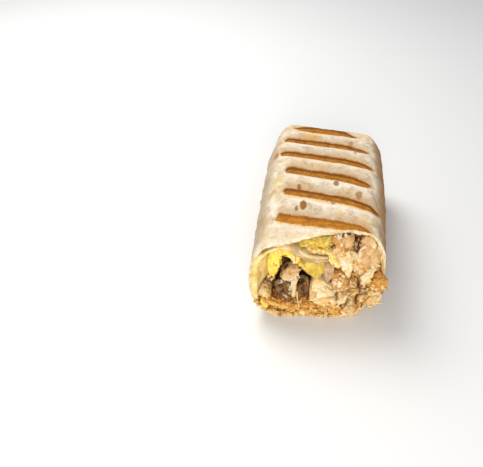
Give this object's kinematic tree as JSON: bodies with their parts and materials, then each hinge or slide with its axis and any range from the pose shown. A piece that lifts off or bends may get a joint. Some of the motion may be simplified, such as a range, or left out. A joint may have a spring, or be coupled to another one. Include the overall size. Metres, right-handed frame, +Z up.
{
  "type": "chicken wrap",
  "caption": "Half of a grilled chicken wrap cut across, with grill marks on the tortilla and a chopped filling at the cut end.",
  "frame": {"origin": "middle of the base of the bounding box, on the surface the wrap lies on", "axes": "+Z up, +Y along the roll from the cut end to the closed end, +X to the right as seen from the cut end"},
  "size_m": [0.0644, 0.1215, 0.0476],
  "materials": {
    "tortilla": "dry baked flour tortilla, cream with brown grill marks",
    "filling": "packed chopped filling, moist",
    "chicken": "cooked chicken, moist and fibrous",
    "chicken_pale": "pale cooked chicken, moist and fibrous",
    "egg": "soft yellow egg or cheese, moist",
    "pepper": "yellow-green pepper or sauce, wet",
    "mushroom": "dark cooked mushroom, wet",
    "mushroom_slice": "thin grey-brown slice, wet",
    "breading": "fried orange-brown crumbs"
  },
  "bodies": {
    "root": {"tortilla": "tortilla", "filling_core": "filling", "pepper_upper": "pepper", "egg_band": "egg", "egg_layer": "egg", "pepper_lower": "pepper", "chicken_top": "chicken_pale", "chicken_centre": "chicken_pale", "chicken_pink": "chicken", "chicken_right": "chicken", "chicken_strip": "chicken_pale", "crumb_lump_right": "breading", "chicken_bottom_right": "chicken_pale", "chicken_lower": "chicken", "chicken_pale": "chicken_pale", "mushroom_slice": "mushroom_slice", "chicken_wedge": "chicken_pale", "chicken_under": "chicken_pale", "crumb_lump_bottom": "breading", "chicken_bottom_middle": "chicken_pale", "chicken_bottom_bit": "chicken_pale", "mushroom_left": "mushroom", "mushroom_middle": "mushroom", "chicken_flap": "chicken_pale", "chicken_sliver": "chicken_pale", "crumb_layer": "breading", "egg_bit_low": "egg", "chicken_left_low": "chicken"}
  },
  "joints": []
}
